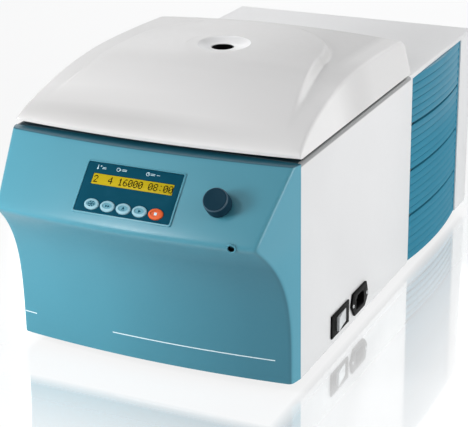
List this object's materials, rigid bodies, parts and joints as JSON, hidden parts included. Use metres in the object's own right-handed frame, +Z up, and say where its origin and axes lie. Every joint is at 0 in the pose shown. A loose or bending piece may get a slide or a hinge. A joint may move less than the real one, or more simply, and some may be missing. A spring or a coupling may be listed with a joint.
{
  "type": "refrigerated bench centrifuge",
  "caption": "Bench centrifuge with an arched hinged lid over an angle rotor in a cooled bowl, a sloped control panel with keys and a selector knob, and louvred side vents.",
  "frame": {"origin": "on the bench under the middle of the machine", "axes": "+Z up, -Y to the front with the controls, +X to the operator's right"},
  "size_m": [0.34, 0.65, 0.313],
  "materials": {
    "white_enamel": "off-white textured enamel",
    "teal_moulding": "teal moulded plastic, satin",
    "navy_plate": "dark blue printed plate",
    "display_amber": "yellow-green display window",
    "pale_key": "pale blue keys",
    "stop_key": "orange-red key",
    "slate_knob": "dark slate plastic",
    "black_plastic": "black plastic",
    "grey_plastic": "light grey plastic",
    "smoked_glass": "dark clear plastic sight glass",
    "black_rubber": "black rubber",
    "polished_steel": "stainless steel, polished",
    "zinc_sheet": "zinc plated sheet steel",
    "rotor_aluminium": "machined aluminium",
    "dark_enamel": "black enamel",
    "copper": "copper tube",
    "foam": "rigid insulating foam",
    "green_board": "green circuit board"
  },
  "bodies": {
    "case": {"base_pan": "zinc_sheet", "housing": "white_enamel", "rear_panel": "white_enamel", "grille_right": "teal_moulding", "grille_left": "teal_moulding", "front_panel": "teal_moulding", "control_plate": "navy_plate", "display_window": "display_amber", "control_board": "green_board", "encoder": "zinc_sheet", "release_port_bush": "grey_plastic", "chamber_bowl": "polished_steel", "chamber_gasket": "black_rubber", "insulation": "foam", "motor": "dark_enamel", "motor_plate": "zinc_sheet", "damper_1": "black_rubber", "damper_2": "black_rubber", "damper_3": "black_rubber", "lock_unit": "black_plastic", "hinge_body_left": "zinc_sheet", "hinge_body_right": "zinc_sheet", "hinge_pin_left": "polished_steel", "hinge_pin_right": "polished_steel", "switch_frame": "black_plastic", "mains_inlet": "black_plastic", "drive_module": "rotor_aluminium", "partition": "zinc_sheet", "compressor": "dark_enamel", "condenser": "rotor_aluminium", "fan_frame": "black_plastic", "discharge_line": "copper", "suction_line": "copper", "foot_front_left": "black_rubber", "foot_front_right": "black_rubber", "foot_rear_left": "black_rubber", "foot_rear_right": "black_rubber"},
    "lid": {"lid_outer": "white_enamel", "lid_inner_panel": "grey_plastic", "sight_glass": "smoked_glass", "lid_striker": "polished_steel", "hinge_lid_left": "zinc_sheet", "hinge_lid_right": "zinc_sheet"},
    "rotor_group": {"motor_shaft": "polished_steel", "rotor": "rotor_aluminium", "rotor_cover": "rotor_aluminium", "rotor_cover_nut": "slate_knob"},
    "selector": {"knob": "slate_knob"},
    "power_rocker": {"rocker": "grey_plastic"},
    "bolt": {"lock_bolt": "polished_steel"},
    "fan": {"fan_wheel": "grey_plastic"},
    "cooling_key": {"key_cooling": "pale_key"},
    "first_key": {"key_first": "pale_key"},
    "second_key": {"key_second": "pale_key"},
    "third_key": {"key_third": "pale_key"},
    "stop_key": {"key_stop": "stop_key"}
  },
  "joints": [
    {"name": "lid_hinge", "type": "hinge", "parent": "case", "child": "lid", "pos_m": [0, 0.0905, 0.256], "axis": [-1, 0, 0], "range_deg": [0, 78]},
    {"name": "rotor_spin", "type": "hinge", "parent": "case", "child": "rotor_group", "pos_m": [0, -0.075, 0.168], "axis": [0, 0, 1], "continuous": true},
    {"name": "fan_spin", "type": "hinge", "parent": "case", "child": "fan", "pos_m": [0.0922, 0.186, 0.1148], "axis": [1, 0, 0], "continuous": true},
    {"name": "selector_turn", "type": "hinge", "parent": "case", "child": "selector", "pos_m": [0.0995, -0.29377, 0.21412], "axis": [0.0641, -0.7376, 0.6722], "continuous": true},
    {"name": "rocker_tilt", "type": "hinge", "parent": "case", "child": "power_rocker", "pos_m": [0.1622, -0.133, 0.035], "axis": [0, 0, -1], "range_deg": [0, 14]},
    {"name": "bolt_slide", "type": "slide", "parent": "case", "child": "bolt", "axis": [0, -1, 0], "range_m": [0, 0.006]},
    {"name": "cooling_key_press", "type": "slide", "parent": "case", "child": "cooling_key", "axis": [0, 0.7348, -0.6783], "range_m": [0, 0.0008], "stiffness_N_per_m": 1500},
    {"name": "first_key_press", "type": "slide", "parent": "case", "child": "first_key", "axis": [0, 0.7348, -0.6783], "range_m": [0, 0.0008], "stiffness_N_per_m": 1500},
    {"name": "second_key_press", "type": "slide", "parent": "case", "child": "second_key", "axis": [0, 0.7348, -0.6783], "range_m": [0, 0.0008], "stiffness_N_per_m": 1500},
    {"name": "third_key_press", "type": "slide", "parent": "case", "child": "third_key", "axis": [0, 0.7348, -0.6783], "range_m": [0, 0.0008], "stiffness_N_per_m": 1500},
    {"name": "stop_key_press", "type": "slide", "parent": "case", "child": "stop_key", "axis": [0, 0.7348, -0.6783], "range_m": [0, 0.0008], "stiffness_N_per_m": 1500}
  ]
}
